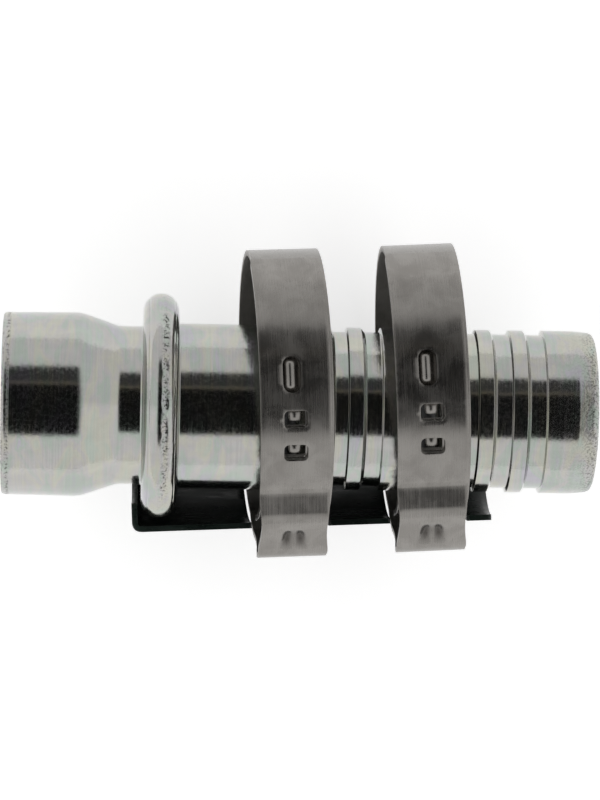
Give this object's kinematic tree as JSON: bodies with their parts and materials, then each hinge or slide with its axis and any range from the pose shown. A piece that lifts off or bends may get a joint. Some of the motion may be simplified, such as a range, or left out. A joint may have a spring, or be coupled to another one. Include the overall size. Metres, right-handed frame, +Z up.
{
  "type": "air conditioning hose fitting",
  "caption": "Straight hose stem with a bead, tube socket, seal rings, a clip cage hooked behind the bead and loose ear clamps round it.",
  "frame": {"origin": "on the stem's axis, at the face of the bead that the hose butts against", "axes": "+X along the stem from the tube socket to the nose, +Z up as the fitting lies on its clamps, +Y away from the clamps' ears"},
  "size_m": [0.0611, 0.033, 0.0291],
  "materials": {
    "zinc_plated_steel": "turned, bright zinc with a pale iridescent passivation",
    "seal_rubber": "moulded, matt black",
    "stainless_strip": "satin rolled strip",
    "black_plated_sheet": "glossy green-black plating"
  },
  "bodies": {
    "stem": {"hose_stem": "zinc_plated_steel", "seal_ring_1": "seal_rubber", "seal_ring_2": "seal_rubber"},
    "cage": {"clip_cage": "black_plated_sheet"},
    "clamp_1": {"ear_clamp_1": "stainless_strip"},
    "clamp_2": {"ear_clamp_2": "stainless_strip"}
  },
  "joints": [
    {"name": "cage_swivel", "type": "hinge", "parent": "stem", "child": "cage", "pos_m": [0, 0, 0], "axis": [1, 0, 0], "continuous": true},
    {"name": "clamp_1_turn", "type": "hinge", "parent": "cage", "child": "clamp_1", "pos_m": [0.011, 0.0024, -0.0009], "axis": [0.9979, 0.0471, -0.0454], "continuous": true},
    {"name": "clamp_2_turn", "type": "hinge", "parent": "cage", "child": "clamp_2", "pos_m": [0.02525, 0.00316, -0.0009], "axis": [0.9982, 0.0593, -0.007], "continuous": true}
  ]
}
